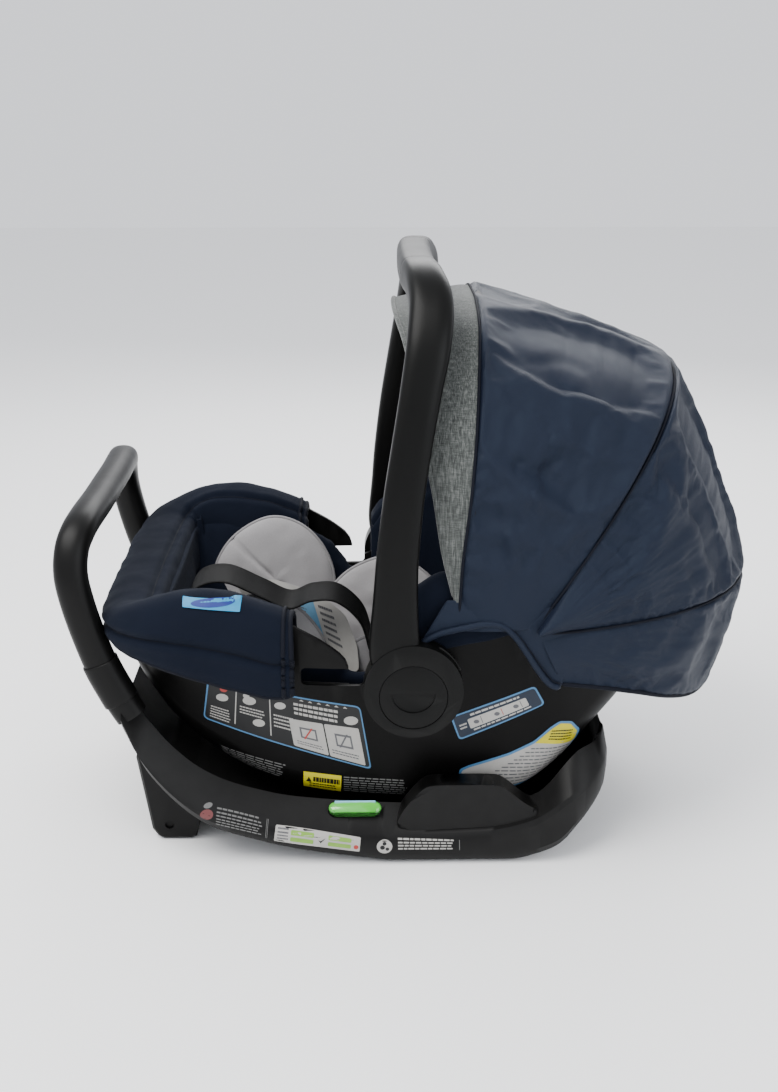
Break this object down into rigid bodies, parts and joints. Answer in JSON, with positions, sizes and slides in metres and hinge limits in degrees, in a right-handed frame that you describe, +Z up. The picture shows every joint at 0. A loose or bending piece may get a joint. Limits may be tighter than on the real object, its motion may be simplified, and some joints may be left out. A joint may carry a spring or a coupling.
{
  "type": "infant car seat",
  "caption": "Rear-facing infant car seat: padded shell with swinging carry handle and folding canopy, on a base with an anti-rebound loop.",
  "frame": {"origin": "centre of the overall box, on the surface that the base stands on", "axes": "+X towards the head end (canopy), +Y towards the child's right-hand side, +Z up"},
  "size_m": [0.7334, 0.45, 0.6217],
  "materials": {
    "base_plastic": "satin moulded charcoal plastic",
    "shell_plastic": "fine-grained near-black moulded plastic",
    "handle_plastic": "fine-grained charcoal plastic",
    "steel": "plated steel",
    "level_green": "clear green level window",
    "foam": "moulded energy-absorbing foam",
    "navy_fabric": "navy woven polyester, padded",
    "grey_fabric": "light grey knit",
    "heather_fabric": "grey heather weave",
    "webbing": "black polyester webbing",
    "red_button": "red moulded button"
  },
  "bodies": {
    "base": {"base_housing": "base_plastic", "base_bottom_pan": "base_plastic", "anti_rebound_bar": "base_plastic", "level_window_left": "level_green", "level_window_right": "level_green", "latch_bar_foot": "steel", "latch_bar_head": "steel"},
    "recline_foot": {"recline_foot": "base_plastic"},
    "carrier": {"carrier_shell": "shell_plastic", "foam_liner": "foam", "seat_pad": "navy_fabric", "rim_cover_foot": "navy_fabric", "rim_cover_head": "navy_fabric", "body_insert_left": "grey_fabric", "body_insert_right": "grey_fabric", "head_support": "grey_fabric", "shoulder_strap_left": "webbing", "shoulder_strap_right": "webbing", "crotch_strap": "webbing", "adjuster_strap": "webbing", "buckle": "handle_plastic", "chest_clip": "handle_plastic", "pivot_pin_left": "steel", "pivot_pin_right": "steel", "canopy_mount_left": "handle_plastic", "canopy_mount_right": "handle_plastic", "canopy_bow_rear": "steel", "canopy_skirt": "navy_fabric"},
    "handle": {"handle_frame": "handle_plastic", "handle_grip_cover": "handle_plastic", "button_spring_left": "steel", "button_spring_right": "steel"},
    "handle_button_left": {"handle_button_left": "handle_plastic"},
    "handle_button_right": {"handle_button_right": "handle_plastic"},
    "canopy_middle": {"canopy_bow_middle": "steel", "canopy_panel_rear": "navy_fabric"},
    "canopy_front": {"canopy_bow_front": "steel", "canopy_panel_front": "navy_fabric", "canopy_visor": "heather_fabric"},
    "buckle_button": {"buckle_button": "red_button"},
    "release_handle": {"release_handle": "handle_plastic"},
    "latch_pawl_foot": {"latch_pawl_foot": "handle_plastic"},
    "latch_pawl_head": {"latch_pawl_head": "handle_plastic"}
  },
  "joints": [
    {"name": "recline_foot_slide", "type": "slide", "parent": "base", "child": "recline_foot", "axis": [0, 0, -1], "range_m": [0, 0.025]},
    {"name": "carrier_lift", "type": "slide", "parent": "base", "child": "carrier", "axis": [0, 0, 1], "range_m": [0, 0.25]},
    {"name": "handle_swing", "type": "hinge", "parent": "carrier", "child": "handle", "pos_m": [-0.005, 0, 0.21], "axis": [0, -1, 0], "range_deg": [0, 42]},
    {"name": "handle_button_left_press", "type": "slide", "parent": "handle", "child": "handle_button_left", "axis": [0, 1, 0], "range_m": [0, 0.006], "stiffness_N_per_m": 400, "deforming": ["button_spring_left"]},
    {"name": "handle_button_right_press", "type": "slide", "parent": "handle", "child": "handle_button_right", "axis": [0, -1, 0], "range_m": [0, 0.006], "stiffness_N_per_m": 400, "deforming": ["button_spring_right"]},
    {"name": "canopy_middle_fold", "type": "hinge", "parent": "carrier", "child": "canopy_middle", "pos_m": [0.112, 0, 0.262], "axis": [0, 1, 0], "range_deg": [0, 37], "deforming": ["canopy_panel_rear"]},
    {"name": "canopy_front_fold", "type": "hinge", "parent": "canopy_middle", "child": "canopy_front", "pos_m": [0.112, 0, 0.262], "axis": [0, 1, 0], "range_deg": [0, 38], "deforming": ["canopy_panel_front"]},
    {"name": "buckle_button_press", "type": "slide", "parent": "carrier", "child": "buckle_button", "axis": [0, 0, -1], "range_m": [0, 0.0025], "stiffness_N_per_m": 600},
    {"name": "release_handle_pull", "type": "slide", "parent": "carrier", "child": "release_handle", "axis": [0, 0, 1], "range_m": [0, 0.006], "stiffness_N_per_m": 800},
    {"name": "latch_pawl_foot_slide", "type": "slide", "parent": "carrier", "child": "latch_pawl_foot", "axis": [-1, 0, 0], "range_m": [0, 0.007]},
    {"name": "latch_pawl_head_slide", "type": "slide", "parent": "carrier", "child": "latch_pawl_head", "axis": [-1, 0, 0], "range_m": [0, 0.007]}
  ],
  "couplings": [
    {"joint": "latch_pawl_foot_slide", "follows": "release_handle_pull", "ratio": 1.1667},
    {"joint": "latch_pawl_head_slide", "follows": "release_handle_pull", "ratio": 1.1667}
  ]
}
